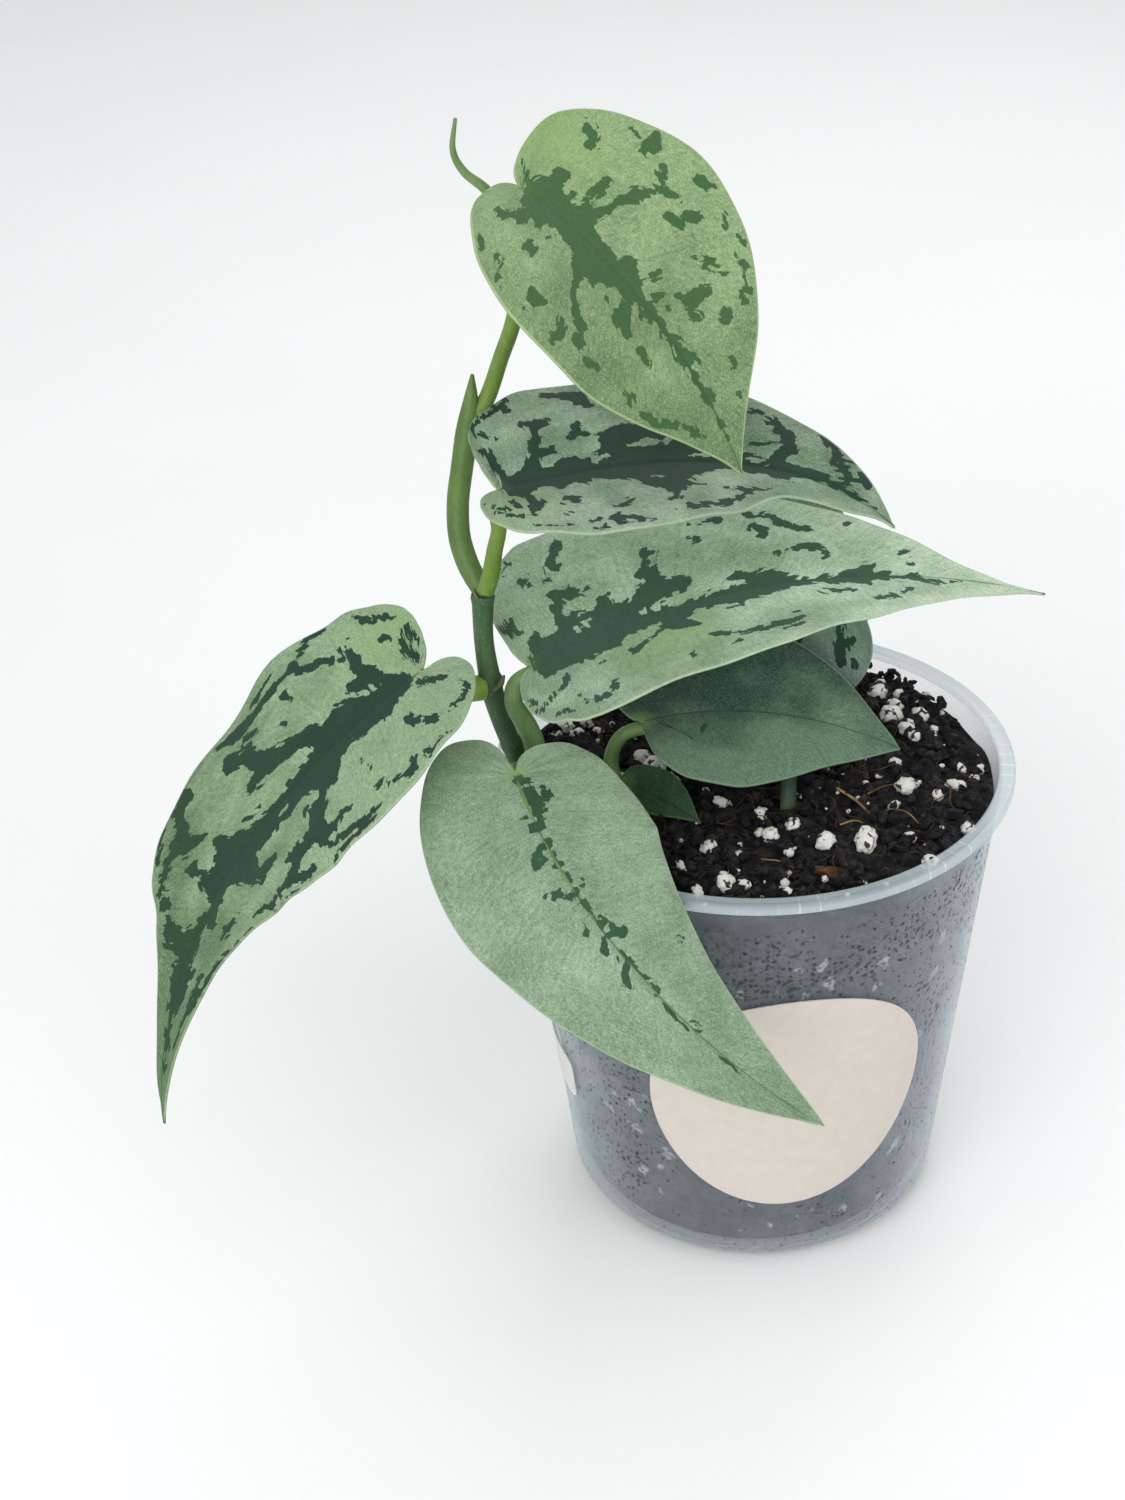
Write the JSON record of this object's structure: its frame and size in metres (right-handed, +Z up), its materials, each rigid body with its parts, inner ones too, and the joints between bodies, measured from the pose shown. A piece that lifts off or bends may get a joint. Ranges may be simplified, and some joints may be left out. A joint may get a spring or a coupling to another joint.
{
  "type": "potted trailing house plant",
  "caption": "Young satin pothos with silver-marked heart-shaped leaves on an upright stem, in a tapered clear plastic nursery pot of peat and perlite.",
  "frame": {"origin": "centre of the pot's flat underside", "axes": "+Z up along the pot's axis, -Y towards the round label's side, +X to the right as seen from there"},
  "size_m": [0.2024, 0.1559, 0.2651],
  "materials": {
    "clear_plastic": "milky clear",
    "potting_mix": "crumbly",
    "paper": "matt",
    "stem": "satin",
    "leaf": "satin"
  },
  "bodies": {
    "root": {"pot": "clear_plastic", "soil": "potting_mix", "label": "paper", "small_label": "paper", "stem": "stem", "stem_stub": "stem", "leaf_top": "leaf", "leaf_second": "leaf", "leaf_third": "leaf", "leaf_left": "leaf", "leaf_front": "leaf", "leaf_low": "leaf", "leaf_back": "leaf", "leaf_small": "leaf"}
  },
  "joints": []
}
